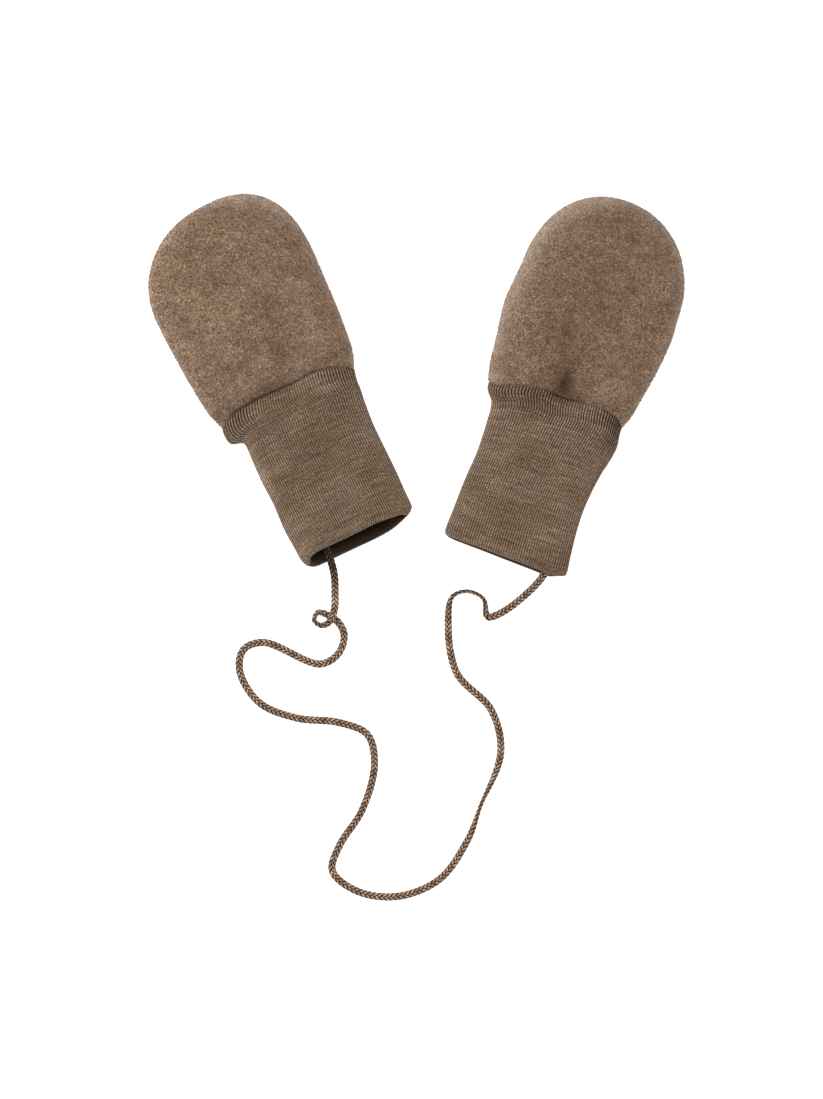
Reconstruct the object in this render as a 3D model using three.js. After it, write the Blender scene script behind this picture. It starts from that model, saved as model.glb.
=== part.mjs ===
// A pair of thumbless baby mittens joined by one flat cord, lying flat on a surface.
// Each mitten is a fleece pouch of two panels, sewn to a long rib-knit cuff that is folded double.
// Units are millimetres, +X is right, +Y points away from the wearer's arms, +Z is up off the surface.
// The origin is on the surface, under the middle of the two mittens.

import * as THREE from 'three';
import { mergeVertices } from 'three/addons/utils/BufferGeometryUtils.js';

// Driving dimensions

const fleeceWall = 2.6;
const knitWall = 2.0;
const seamGap = 0.3;
const cuffGap = 0.5;

// Share of a section's height at which its widest point, the side seam, lies
const sideShare = 0.38;

// Power of the crowned sections: 2 is an ellipse, more is flatter on top
const pouchCrown = 2.5;
const cuffCrown = 3.0;

// Width of the rounding between an outer edge and the flat underside
const pouchUnderRound = 8;
const cuffUnderRound = 4.5;

const ribCount = 56;
const ribHeight = 0.32;

const cordWidth = 3.1;
const cordThickness = 1.7;
const cordSides = 8;
const stepsBetweenPoints = 2;

// Points across half a panel, along a pouch's straight sides and round half its tip
const crownSteps = 8;
const underSteps = 3;
const flatSteps = 4;
const sideSteps = 9;
const tipSteps = 10;

// Above 1, a pouch's rows lie closer together near its seam
const seamCrowding = 1.4;

// Points this close are one point
const mergeDistance = 1e-3;

// Points round the inside and the underside of a cuff, and steps to measure its upper side by
const insideColumns = 45;
const undersideColumns = 32;
const fineSteps = 240;

// Where a cuff's rings lie, as shares of the way from hem to seam
const cuffRings = [0.016, 0.06, 0.2, 0.36, 0.52, 0.66, 0.76, 0.83, 0.89, 0.94, 0.975, 1];
const insideRings = [0.016, 0.2, 0.45, 0.7, 0.85, 0.94, 1];

// Each mitten: where its hem's middle lies, how it is turned, and its sections.
// The rows of a table give the distance along the mitten from the hem, the widths to the left
// and right of its middle line, and the height of its crown.

const leftMitten = {
  name: 'left',
  place: [-23.2, -63.7],
  turnDegrees: 27,
  cuff: [
    { along: -1.4, left: 24.3, right: 20.6, top: 9.0 },
    { along: -0.6, left: 25.3, right: 21.9, top: 9.2 },
    { along: 0.5, left: 26.0, right: 23.8, top: 9.4 },
    { along: 1.7, left: 26.5, right: 25.0, top: 9.6 },
    { along: 3.5, left: 26.8, right: 25.2, top: 9.7 },
    { along: 8, left: 26.9, right: 25.3, top: 9.8 },
    { along: 17, left: 27.2, right: 25.8, top: 9.6 },
    { along: 28, left: 26.4, right: 26.0, top: 9.6 },
    { along: 39, left: 26.5, right: 26.3, top: 9.7 },
    { along: 50, left: 25.8, right: 27.5, top: 10.4 },
    { along: 54, left: 25.5, right: 28.1, top: 10.9 },
    { along: 56, left: 26.1, right: 28.3, top: 11.2 },
    { along: 58.4, left: 29.5, right: 28.5, top: 11.6 },
    { along: 60.8, left: 31.3, right: 28.9, top: 12.0 },
    { along: 64.5, left: 31.7, right: 29.7, top: 11.9 },
    { along: 69, left: 30.9, right: 30.2, top: 11.2 },
    { along: 71.5, left: 30.6, right: 30.2, top: 9.6 },
  ],
  hem: {
    leftEnd: -1.3,
    rightEnd: -0.6,
    top: [
      { across: -24.4, along: -1.2 },
      { across: -23.8, along: 0.6 },
      { across: -22.8, along: 2.1 },
      { across: -21, along: 2.8 },
      { across: -17, along: 3.1 },
      { across: -10.8, along: 2.9 },
      { across: 2.7, along: 2.6 },
      { across: 8.5, along: 2.5 },
      { across: 12.3, along: 2.1 },
      { across: 16.2, along: 1.6 },
      { across: 19.4, along: 1.0 },
      { across: 20.9, along: 0.2 },
      { across: 22, along: -0.5 },
    ],
    bottom: [
      { across: -24.4, along: -1.3 },
      { across: -22.8, along: -2.0 },
      { across: -20.4, along: -2.35 },
      { across: -14.6, along: -2.5 },
      { across: -1.2, along: -2.9 },
      { across: 4.6, along: -3.1 },
      { across: 10.4, along: -3.0 },
      { across: 14.2, along: -2.6 },
      { across: 18, along: -1.7 },
      { across: 20.8, along: -0.8 },
      { across: 22, along: -0.6 },
    ],
  },
  seam: [
    { across: -31, along: 67.7 },
    { across: -27, along: 69.8 },
    { across: -22, along: 71.3 },
    { across: -10, along: 71.7 },
    { across: 4.5, along: 70.8 },
    { across: 13, along: 71.1 },
    { across: 20, along: 69.6 },
    { across: 26, along: 67.3 },
    { across: 30, along: 64.4 },
  ],
  pouch: [
    { along: 64, left: 30.8, right: 29.7, top: 9.6 },
    { along: 68, left: 31.8, right: 31.4, top: 9.9 },
    { along: 71.5, left: 32.8, right: 32.8, top: 10.2 },
    { along: 75.5, left: 33.8, right: 33.5, top: 13.2 },
    { along: 84, left: 34.6, right: 34.5, top: 15.0 },
    { along: 92.5, left: 35.1, right: 35.3, top: 15.8 },
    { along: 101, left: 35.4, right: 35.9, top: 16.4 },
    { along: 109, left: 35.6, right: 36.4, top: 16.6 },
    { along: 118, left: 35.6, right: 37.0, top: 16.6 },
  ],
  tip: { across: 3.8, start: 118, end: 154.5, leftPower: 2.1, rightPower: 2.55 },
  folds: [
    { across: 10, along: 96, turnDegrees: 8, length: 20, width: 5, depth: 1.3 },
    { across: -9, along: 84, turnDegrees: -30, length: 9, width: 5, depth: 0.9 },
    { across: 15, along: 77, turnDegrees: 60, length: 8, width: 4, depth: 0.7 },
  ],
};

const rightMitten = {
  name: 'right',
  place: [38.1, -70.9],
  turnDegrees: -20,
  cuff: [
    { along: -1.2, left: 26.3, right: 23.0, top: 9.0 },
    { along: -0.6, left: 27.2, right: 24.8, top: 9.1 },
    { along: 0.2, left: 27.8, right: 26.0, top: 9.3 },
    { along: 1.2, left: 28.0, right: 26.3, top: 9.5 },
    { along: 3, left: 28.0, right: 26.2, top: 9.7 },
    { along: 6, left: 27.9, right: 25.7, top: 9.8 },
    { along: 12, left: 27.7, right: 24.9, top: 9.7 },
    { along: 20, left: 27.6, right: 24.1, top: 9.6 },
    { along: 28, left: 27.2, right: 23.9, top: 9.6 },
    { along: 36, left: 26.6, right: 24.5, top: 9.7 },
    { along: 45, left: 26.8, right: 25.7, top: 10.0 },
    { along: 50, left: 27.1, right: 26.8, top: 10.4 },
    { along: 55, left: 27.4, right: 27.7, top: 11.0 },
    { along: 59, left: 28.4, right: 28.0, top: 11.6 },
    { along: 61.5, left: 30.6, right: 27.6, top: 12.0 },
    { along: 64, left: 31.9, right: 27.2, top: 11.9 },
    { along: 68, left: 31.8, right: 27.1, top: 11.2 },
    { along: 71.5, left: 31.5, right: 27.1, top: 9.6 },
  ],
  hem: {
    leftEnd: -1.0,
    rightEnd: -0.5,
    top: [
      { across: -26.8, along: -0.9 },
      { across: -24, along: -1.0 },
      { across: -10, along: -1.0 },
      { across: 0, along: -1.1 },
      { across: 10, along: -1.3 },
      { across: 17, along: -1.5 },
      { across: 20, along: -1.6 },
      { across: 22, along: -1.1 },
      { across: 24.5, along: -0.5 },
    ],
    bottom: [
      { across: -26.8, along: -1.0 },
      { across: -25.5, along: -1.4 },
      { across: -22, along: -1.7 },
      { across: -10, along: -1.9 },
      { across: 0, along: -2.1 },
      { across: 10, along: -2.3 },
      { across: 17, along: -2.45 },
      { across: 19.5, along: -2.4 },
      { across: 21, along: -2.0 },
      { across: 23, along: -1.1 },
      { across: 24.8, along: -0.6 },
    ],
  },
  seam: [
    { across: -32, along: 66.1 },
    { across: -28, along: 66.0 },
    { across: -24, along: 66.8 },
    { across: -20, along: 68.4 },
    { across: -16, along: 69.4 },
    { across: -8, along: 70.3 },
    { across: -2.5, along: 69.9 },
    { across: 2, along: 70.1 },
    { across: 9, along: 71.0 },
    { across: 16.5, along: 71.4 },
    { across: 21, along: 70.8 },
    { across: 24.5, along: 69.1 },
    { across: 27.5, along: 66.8 },
  ],
  pouch: [
    { along: 63, left: 32.4, right: 27.5, top: 9.6 },
    { along: 67, left: 33.2, right: 27.9, top: 9.9 },
    { along: 71.5, left: 34.3, right: 29.5, top: 10.2 },
    { along: 75.5, left: 34.9, right: 30.2, top: 13.0 },
    { along: 84, left: 35.7, right: 31.6, top: 14.8 },
    { along: 92.5, left: 36.9, right: 33.0, top: 15.8 },
    { along: 101, left: 37.6, right: 33.9, top: 16.4 },
    { along: 109, left: 37.1, right: 34.3, top: 16.6 },
    { along: 118, left: 36.2, right: 33.7, top: 16.6 },
  ],
  tip: { across: -2.7, start: 118, end: 157.1, leftPower: 2.15, rightPower: 2.05 },
  folds: [
    { across: -2, along: 77, turnDegrees: 10, length: 6.5, width: 5, depth: 3.2 },
    { across: -6, along: 98, turnDegrees: 10, length: 22, width: 10, depth: 1.5 },
    { across: 12, along: 80, turnDegrees: -50, length: 9, width: 5, depth: 0.8 },
  ],
};

// The cord's middle line from inside the left cuff to inside the right one: x, y and height
const cordRoute = [
  [-41.3, -59.1, 3.2],
  [-34.8, -77.6, 2.9],
  [-34.2, -87.3, 2.1],
  [-34.5, -94.4, 3.05],
  [-36.7, -99.4, 2.85],
  [-40.2, -100.7, 1.7],
  [-43.1, -98.2, 1],
  [-41.3, -94.9, 0.95],
  [-33.6, -98.5, 0.95],
  [-30.4, -104.5, 0.95],
  [-32.9, -112.5, 0.95],
  [-40.6, -116.8, 0.95],
  [-64.4, -107.7, 0.95],
  [-72.8, -110.8, 0.95],
  [-74.3, -120.0, 0.95],
  [-66.1, -133.1, 0.95],
  [-50.4, -139.5, 0.95],
  [-32.8, -141.4, 0.95],
  [-20.6, -146.5, 0.95],
  [-17.6, -159.1, 0.95],
  [-22.7, -178.3, 0.95],
  [-32.4, -193.4, 0.95],
  [-35.3, -204.0, 0.95],
  [-24.6, -212.6, 0.95],
  [-7.3, -214.6, 0.95],
  [10.0, -207.3, 0.95],
  [21.1, -191.7, 0.95],
  [27.1, -176.4, 0.95],
  [35.6, -153.6, 0.95],
  [31.5, -136.1, 0.95],
  [23.8, -129.0, 0.95],
  [17.1, -120.7, 0.95],
  [15.0, -88.0, 0.95],
  [21.9, -85.8, 0.95],
  [28.5, -89.5, 0.95],
  [30.3, -96.3, 0.95],
  [40.0, -92.4, 1.05],
  [48.9, -85.0, 2.5],
  [53.9, -78.8, 3.3],
  [56.9, -68.0, 3.3],
];

// Materials

const fleece = new THREE.MeshStandardMaterial({ color: 0x84705a, roughness: 0.95, metalness: 0 });
const ribKnit = new THREE.MeshStandardMaterial({ color: 0x74604f, roughness: 0.9, metalness: 0 });
const cordYarn = new THREE.MeshStandardMaterial({ color: 0x8a7765, roughness: 0.9, metalness: 0 });

// Numbers and tables

const mix = (from, to, share) => from + (to - from) * share;
const clamp = (value, low, high) => Math.min(high, Math.max(low, value));
const degrees = Math.PI / 180;

// A smooth curve through one column of a table, level beyond its ends
function readTable(rows, key, column, at) {
  const place = clamp(at, rows[0][key], rows[rows.length - 1][key]);
  let row = 0;
  while (row < rows.length - 2 && place > rows[row + 1][key]) {
    row += 1;
  }
  const slope = (index) => {
    const before = rows[Math.max(index - 1, 0)];
    const after = rows[Math.min(index + 1, rows.length - 1)];
    return (after[column] - before[column]) / (after[key] - before[key]);
  };
  const span = rows[row + 1][key] - rows[row][key];
  const t = (place - rows[row][key]) / span;
  const start = rows[row][column] * (2 * t ** 3 - 3 * t ** 2 + 1);
  const end = rows[row + 1][column] * (3 * t ** 2 - 2 * t ** 3);
  const startSlope = slope(row) * span * (t ** 3 - 2 * t ** 2 + t);
  const endSlope = slope(row + 1) * span * (t ** 3 - t ** 2);
  return start + end + startSlope + endSlope;
}

// Height of a crowned section at a share of the way from its middle (0) to its edge (1)
const crown = (share, power) => (1 - Math.min(share, 1) ** power) ** (1 / power);

// Height left in the rounding under an edge: 1 at the edge, 0 where the flat begins
function underRound(inset, width) {
  const share = clamp(1 - inset / width, 0, 1);
  return 1 - Math.sqrt(1 - share ** 2);
}

// Depth of all the soft folds of a pouch at a place on its back
function foldDepth(folds, x, y) {
  let depth = 0;
  for (const fold of folds) {
    const turn = fold.turnDegrees * degrees;
    const across = (x - fold.across) * Math.cos(turn) + (y - fold.along) * Math.sin(turn);
    const along = (y - fold.along) * Math.cos(turn) - (x - fold.across) * Math.sin(turn);
    depth += fold.depth * Math.exp(-((across / fold.width) ** 2) - (along / fold.length) ** 2);
  }
  return depth;
}

// Solids from walls of points

// Collects triangles, and gives one closed geometry with shared points and no empty faces
function makeShell() {
  const positions = [];
  const addTriangle = (a, b, c) => positions.push(...a, ...b, ...c);
  const addQuad = (a, b, c, d) => {
    addTriangle(a, b, c);
    addTriangle(a, c, d);
  };
  const addGrid = (rows, flipped) => {
    for (let i = 0; i < rows.length - 1; i += 1) {
      for (let j = 0; j < rows[i].length - 1; j += 1) {
        const corners = [rows[i][j], rows[i][j + 1], rows[i + 1][j + 1], rows[i + 1][j]];
        addQuad(...(flipped ? corners : corners.reverse()));
      }
    }
  };
  const finish = () => {
    const loose = new THREE.BufferGeometry();
    loose.setAttribute('position', new THREE.Float32BufferAttribute(positions, 3));
    const merged = mergeVertices(loose, mergeDistance);
    const kept = [];
    const index = merged.index.array;
    for (let i = 0; i < index.length; i += 3) {
      const [a, b, c] = [index[i], index[i + 1], index[i + 2]];
      if (a !== b && b !== c && c !== a) {
        kept.push(a, b, c);
      }
    }
    merged.setIndex(kept);
    const geometry = merged.toNonIndexed();
    geometry.computeVertexNormals();
    return geometry;
  };
  return { addTriangle, addGrid, finish };
}

// Joins two closed rings that may hold different numbers of points
function addRingJoin(shell, first, second) {
  let i = 0;
  let j = 0;
  while (i < first.length || j < second.length) {
    const a = first[i % first.length];
    const b = second[j % second.length];
    if ((i + 1) / first.length <= (j + 1) / second.length) {
      i += 1;
      shell.addTriangle(a, b, first[i % first.length]);
    } else {
      j += 1;
      shell.addTriangle(a, b, second[j % second.length]);
    }
  }
}

// The pouch

// The pouch's edge from its left seam end, round the tip, to its right seam end. Each place
// holds an edge point, the point of the middle line that it faces, and its share of the way
// from the seam to the start of the tip.
function pouchPlaces(mitten) {
  const { tip, pouch } = mitten;
  const seamAt = (x) => readTable(mitten.seam, 'across', 'along', x) + cuffGap / 2;
  const centre = [tip.across, tip.start];
  const side = (direction) => {
    const column = direction < 0 ? 'left' : 'right';
    const endAlong = seamAt(direction * pouch[0][column]);
    const places = [];
    for (let i = 0; i < sideSteps; i += 1) {
      const share = (i / sideSteps) ** seamCrowding;
      const along = mix(endAlong, tip.start, share);
      const width = readTable(pouch, 'along', column, along);
      const middle = [tip.across, mix(seamAt(tip.across), tip.start, share)];
      places.push({ edge: [direction * width, along], middle, share });
    }
    return places;
  };
  const tipArc = [];
  for (let i = 0; i <= 2 * tipSteps; i += 1) {
    const angle = (90 * i / tipSteps) * degrees;
    const power = i < tipSteps ? tip.leftPower : tip.rightPower;
    const column = i < tipSteps ? 'left' : 'right';
    const sideways = -Math.sign(Math.cos(angle)) * Math.abs(Math.cos(angle)) ** (2 / power);
    const upwards = Math.max(Math.sin(angle), 0) ** (2 / power);
    const base = pouch[pouch.length - 1][column] + (column === 'left' ? 1 : -1) * tip.across;
    const edge = [tip.across + sideways * base, tip.start + upwards * (tip.end - tip.start)];
    tipArc.push({ edge, middle: centre, share: 1 });
  }
  return [...side(-1), ...tipArc, ...side(1).reverse()];
}

// A point of a pouch panel, inset from the edge by a share of the way to the middle line
function panelPoint(mitten, place, inset) {
  const x = mix(place.edge[0], place.middle[0], inset);
  const straight = mix(place.edge[1], place.middle[1], inset);
  const seam = readTable(mitten.seam, 'across', 'along', x) + cuffGap / 2;
  const y = place.share < 1 ? mix(seam, mitten.tip.start, place.share) : straight;
  return [x, y];
}

const reach = (place) => Math.hypot(place.middle[0] - place.edge[0], place.middle[1] - place.edge[1]);

// The upper panel: a crowned wall with the soft folds pressed into it
function backPanel(mitten) {
  const rows = (wall) => pouchPlaces(mitten).map((place) => {
    const length = reach(place);
    const row = [];
    for (let j = 0; j <= crownSteps; j += 1) {
      const angle = (90 * j / crownSteps) * degrees;
      const share = j === crownSteps ? 0 : Math.cos(angle) ** (2 / pouchCrown);
      const inset = 1 - share * (1 - wall / length);
      const [x, y] = panelPoint(mitten, place, inset);
      const top = readTable(mitten.pouch, 'along', 'top', y);
      const base = top * sideShare + seamGap / 2;
      const rise = top - wall - base;
      const press = foldDepth(mitten.folds, x, y) * (1 - share ** 4);
      row.push([x, y, base + rise * crown(share, pouchCrown) - press]);
    }
    return row;
  });
  return closePanel(rows(0), rows(fleeceWall), true);
}

// The lower panel: rounded under its edge and flat where it rests
function palmPanel(mitten) {
  const insets = [];
  for (let j = 0; j <= underSteps; j += 1) {
    insets.push(1 - Math.cos((90 * j / underSteps) * degrees));
  }
  const rows = (wall) => pouchPlaces(mitten).map((place) => {
    const length = reach(place);
    const row = [];
    for (let j = 0; j <= underSteps + flatSteps; j += 1) {
      const rounding = pouchUnderRound - wall;
      const bend = j <= underSteps ? insets[j] * rounding : rounding;
      const flat = Math.max(j - underSteps, 0) / flatSteps;
      const inset = mix(wall + bend, length, flat);
      const [x, y] = panelPoint(mitten, place, inset / length);
      const top = readTable(mitten.pouch, 'along', 'top', y);
      const rim = top * sideShare - seamGap / 2;
      row.push([x, y, wall + (rim - wall) * underRound(bend, rounding)]);
    }
    return row;
  });
  return closePanel(rows(0), rows(fleeceWall), false);
}

// Closes an outer and an inner surface into one wall, along the edge and at the cuff's seam
function closePanel(outer, inner, facesUp) {
  const shell = makeShell();
  shell.addGrid(outer, facesUp);
  shell.addGrid(inner, !facesUp);
  const edge = outer.map((row, i) => [inner[i][0], row[0]]);
  shell.addGrid(edge, facesUp);
  const last = outer.length - 1;
  const leftEnd = outer[0].map((point, j) => [point, inner[0][j]]);
  const rightEnd = outer[last].map((point, j) => [point, inner[last][j]]);
  shell.addGrid(leftEnd, facesUp);
  shell.addGrid(rightEnd, !facesUp);
  return shell.finish();
}

// The cuff

// One section of a cuff, from its left edge over the top to the right edge and back below.
// The outer section has a ridge and a groove for each rib, the inner one is plain.
function cuffSection(mitten, share, wall, topColumns, bottomColumns, ribDepth) {
  const { cuff, hem, seam } = mitten;
  const seamAt = (x) => readTable(seam, 'across', 'along', x) - cuffGap / 2;
  const leftAlong = mix(hem.leftEnd, seamAt(seam[0].across), share);
  const rightAlong = mix(hem.rightEnd, seamAt(seam[seam.length - 1].across), share);
  const left = readTable(cuff, 'along', 'left', leftAlong) - wall;
  const right = readTable(cuff, 'along', 'right', rightAlong) - wall;
  const middle = (right - left) / 2;
  const half = (right + left) / 2;
  const place = (side, height, isTop) => {
    const x = middle + side * half;
    const hemAlong = readTable(isTop ? hem.top : hem.bottom, 'across', 'along', x);
    const along = mix(hemAlong, seamAt(x), share);
    const top = readTable(cuff, 'along', 'top', along);
    const rim = top * sideShare;
    const z = isTop ? mix(rim, top - wall, height) : mix(wall, rim, height);
    return [x, along, z];
  };
  const topArc = [];
  for (let i = 0; i <= fineSteps; i += 1) {
    const angle = (180 * i / fineSteps) * degrees;
    const side = -Math.sign(Math.cos(angle)) * Math.abs(Math.cos(angle)) ** (2 / cuffCrown);
    topArc.push(place(side, Math.max(Math.sin(angle), 0) ** (2 / cuffCrown), true));
  }
  const section = spaceEvenly(topArc, topColumns).map((point, i) => {
    const lift = i % 2 === 0 ? -ribDepth : ribDepth;
    return [point.x + point.out[0] * lift, point.y, point.z + point.out[1] * lift];
  });
  const roundShare = Math.min((cuffUnderRound - wall / 2) / half, 1);
  for (let i = 0; i < bottomColumns; i += 1) {
    const side = 1 - 2 * i / bottomColumns;
    const inset = 1 - Math.abs(Math.sin(side * 90 * degrees));
    const rounded = Math.sign(side) * (1 - inset);
    section.push(place(rounded, underRound(inset, roundShare), false));
  }
  return section;
}

// Points at even distances along an arc, each with the direction that points out of it
function spaceEvenly(arc, count) {
  const lengths = [0];
  for (let i = 1; i < arc.length; i += 1) {
    const step = Math.hypot(arc[i][0] - arc[i - 1][0], arc[i][2] - arc[i - 1][2]);
    lengths.push(lengths[i - 1] + step);
  }
  const points = [];
  let i = 1;
  for (let k = 0; k < count; k += 1) {
    const wanted = lengths[lengths.length - 1] * k / count;
    while (lengths[i] < wanted) {
      i += 1;
    }
    const share = (wanted - lengths[i - 1]) / (lengths[i] - lengths[i - 1]);
    const [before, after] = [arc[i - 1], arc[i]];
    const step = lengths[i] - lengths[i - 1];
    const out = [-(after[2] - before[2]) / step, (after[0] - before[0]) / step];
    const [x, y, z] = before.map((value, axis) => mix(value, after[axis], share));
    points.push({ x, y, z, out });
  }
  return points;
}

// The whole cuff: ribbed outside, rounded fold at the hem, plain inside, open at both ends
function cuffTube(mitten) {
  const shell = makeShell();
  const outside = cuffRings.map((share) => (
    cuffSection(mitten, share, 0, 2 * ribCount, undersideColumns, ribHeight / 2)));
  const topShare = 2 * ribCount / (2 * ribCount + undersideColumns);
  const insideTop = Math.round(insideColumns * topShare);
  const insideAt = (share, wall) => (
    cuffSection(mitten, share, wall, insideTop, insideColumns - insideTop, 0));
  const inside = insideRings.map((share) => insideAt(share, knitWall));
  const fold = insideAt(0, knitWall / 2);
  const closeRing = (ring) => [...ring, ring[0]];
  shell.addGrid(outside.map(closeRing), true);
  shell.addGrid(inside.map(closeRing), false);
  addRingJoin(shell, outside[0], fold);
  addRingJoin(shell, fold, inside[0]);
  addRingJoin(shell, inside[inside.length - 1], outside[outside.length - 1]);
  return shell.finish();
}

// The cord

// A route whose section stays level: its first direction points up, its second one sideways.
// Its steps follow the hand-laid points, which lie closer together in the bends.
class LevelRoute extends THREE.CatmullRomCurve3 {
  getPointAt(share, target) {
    return this.getPoint(share, target);
  }

  getTangentAt(share, target) {
    return this.getTangent(share, target);
  }

  computeFrenetFrames(segments) {
    const frames = { tangents: [], normals: [], binormals: [] };
    for (let i = 0; i <= segments; i += 1) {
      const tangent = this.getTangentAt(i / segments);
      const binormal = tangent.clone().cross(new THREE.Vector3(0, 0, 1)).normalize();
      frames.tangents.push(tangent);
      frames.binormals.push(binormal);
      frames.normals.push(binormal.clone().cross(tangent));
    }
    return frames;
  }
}

// An even flat oval swept along the route
function cordTube() {
  const section = new THREE.Shape();
  const cornerReach = 0.5 / Math.cos(180 * degrees / cordSides);
  for (let i = 0; i < cordSides; i += 1) {
    const angle = (360 * (i + 0.5) / cordSides) * degrees;
    const thick = Math.cos(angle) * cordThickness * cornerReach;
    const wide = Math.sin(angle) * cordWidth * cornerReach;
    if (i === 0) {
      section.moveTo(thick, wide);
    } else {
      section.lineTo(thick, wide);
    }
  }
  section.closePath();
  const points = cordRoute.map(([x, y, z]) => new THREE.Vector3(x, y, z));
  const extrudePath = new LevelRoute(points, false, 'centripetal');
  const steps = stepsBetweenPoints * (cordRoute.length - 1);
  return new THREE.ExtrudeGeometry(section, { steps, extrudePath });
}

// The assembly

function addPiece(parent, name, geometry, material) {
  const mesh = new THREE.Mesh(geometry, material.clone());
  mesh.name = name;
  parent.add(mesh);
}

const mittens = new THREE.Group();

for (const mitten of [leftMitten, rightMitten]) {
  const group = new THREE.Group();
  group.position.set(mitten.place[0], mitten.place[1], 0);
  group.rotation.z = mitten.turnDegrees * degrees;
  addPiece(group, `${mitten.name}_back`, backPanel(mitten), fleece);
  addPiece(group, `${mitten.name}_palm`, palmPanel(mitten), fleece);
  addPiece(group, `${mitten.name}_cuff`, cuffTube(mitten), ribKnit);
  mittens.add(group);
}

addPiece(mittens, 'cord', cordTube(), cordYarn);

export default mittens;
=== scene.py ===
# %% [markdown]
# # A pair of baby mittens
# Two thumbless mittens of brushed wool fleece lie flat beside each other. Each is a soft pouch of
# two panels on a long cuff of fine rib knit, and one braided cord joins the two cuffs. The solids
# come first: they fix every size, and the cloth below is laid on their form.

# %% Load the solids
import math

import bpy
import numpy as np
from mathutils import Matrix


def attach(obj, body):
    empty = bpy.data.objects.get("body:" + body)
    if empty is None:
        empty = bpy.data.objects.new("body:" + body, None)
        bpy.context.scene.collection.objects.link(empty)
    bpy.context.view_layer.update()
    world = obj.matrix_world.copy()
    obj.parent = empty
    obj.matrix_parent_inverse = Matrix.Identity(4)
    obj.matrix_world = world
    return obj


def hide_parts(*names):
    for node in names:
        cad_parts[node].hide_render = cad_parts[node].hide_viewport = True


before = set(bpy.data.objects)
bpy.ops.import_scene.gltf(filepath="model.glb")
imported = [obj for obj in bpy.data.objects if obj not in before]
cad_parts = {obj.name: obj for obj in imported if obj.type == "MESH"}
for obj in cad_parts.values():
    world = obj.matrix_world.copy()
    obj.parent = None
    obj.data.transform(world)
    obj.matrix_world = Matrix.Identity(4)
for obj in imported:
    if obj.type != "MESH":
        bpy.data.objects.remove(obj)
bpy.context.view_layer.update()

print("Solids:", sorted(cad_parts))

# %% [markdown]
# ## Sizes
# All sizes are the real ones. Blender works in metres here, and the tables of the mittens are
# easier to read in millimetres, so one name turns the one into the other.

# %% Units and small helpers
mm = 0.001


def mix(start, end, share):
    return start + (end - start) * share


def table(columns, *rows):
    """Rows of values, each turned into a dictionary by the names of the columns."""
    return [dict(zip(columns.split(), row)) for row in rows]


def set_inputs(node, values):
    for name, value in values.items():
        node.inputs[name].default_value = value


def read_table(rows, key, column, at):
    """A smooth curve through one column of a table, level beyond its ends."""
    keys = np.array([row[key] for row in rows], float)
    values = np.array([row[column] for row in rows], float)
    before = np.r_[0, np.arange(len(rows) - 1)]
    after = np.r_[np.arange(1, len(rows)), len(rows) - 1]
    slopes = (values[after] - values[before]) / (keys[after] - keys[before])
    place = np.clip(at, keys[0], keys[-1])
    row = np.clip(np.searchsorted(keys, place) - 1, 0, len(rows) - 2)
    span = keys[row + 1] - keys[row]
    t = (place - keys[row]) / span
    start = values[row] * (2 * t**3 - 3 * t**2 + 1)
    end = values[row + 1] * (3 * t**2 - 2 * t**3)
    start_slope = slopes[row] * span * (t**3 - 2 * t**2 + t)
    end_slope = slopes[row + 1] * span * (t**3 - t**2)
    return start + end + start_slope + end_slope


# %% [markdown]
# ## Camera
# The photograph looks straight down on the laid-out mittens through a long lens. The picture is
# 1099 pixels high and one pixel is 0.42 mm of the surface, so the height of the view fixes how
# far away a 200 mm lens has to stand.

# %% Camera
image_height_px = 1099
pixel = 0.42 * mm
view_centre = (-2.0 * mm, -68.6 * mm)
lens_mm = 200
sensor_mm = 36
middle_height = 8 * mm

bpy.ops.object.camera_add(rotation=(0, 0, 0))
camera = bpy.context.object
camera.data.lens = lens_mm
camera.data.sensor_width = sensor_mm
camera_distance = image_height_px * pixel * lens_mm / sensor_mm
camera.location = (*view_centre, camera_distance + middle_height)
bpy.context.scene.camera = camera
print(f"Camera {camera_distance:.3f} m above the mittens")

# %% [markdown]
# ## Floor and light
# The mittens lie on a lit white table, as in a catalogue picture, so the floor glows a little
# and no shadow shows on it. One large lamp stands on the left and leaves the right sides darker.
# A second one, close to the table on the left, only grazes the cloth: it makes the left rims
# pale. A weak one on the right lifts the lower edges, and the sky gives the rest.

# %% Floor and light
def add_lamp(name, place, size, power, colour=(1, 1, 1)):
    bpy.ops.object.light_add(type="AREA", location=place)
    lamp = bpy.context.object
    lamp.name = name
    lamp.data.shape = "SQUARE"
    lamp.data.size = size
    lamp.data.energy = power
    lamp.data.color = colour
    aim = np.array([0.0, -0.03, 0.0]) - np.array(place)
    lamp.rotation_euler = (
        math.atan2(math.hypot(aim[0], aim[1]), -aim[2]),
        0,
        math.atan2(aim[1], aim[0]) - math.pi / 2,
    )


add_lamp("left_lamp", (-1.15, 0.45, 0.85), 0.9, 16)
add_lamp("rim_lamp", (-1.35, 0.85, 0.22), 0.35, 11, colour=(0.86, 0.93, 1.0))
add_lamp("right_lamp", (1.1, -0.45, 0.6), 0.8, 5)
add_lamp("top_lamp", (0.25, 0.55, 1.35), 0.8, 6)

world = bpy.data.worlds.new("studio")
bpy.context.scene.world = world
world.use_nodes = True
set_inputs(world.node_tree.nodes["Background"], {"Color": (1, 1, 1, 1), "Strength": 0.4})
bpy.context.scene.view_settings.view_transform = "Standard"

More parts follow.
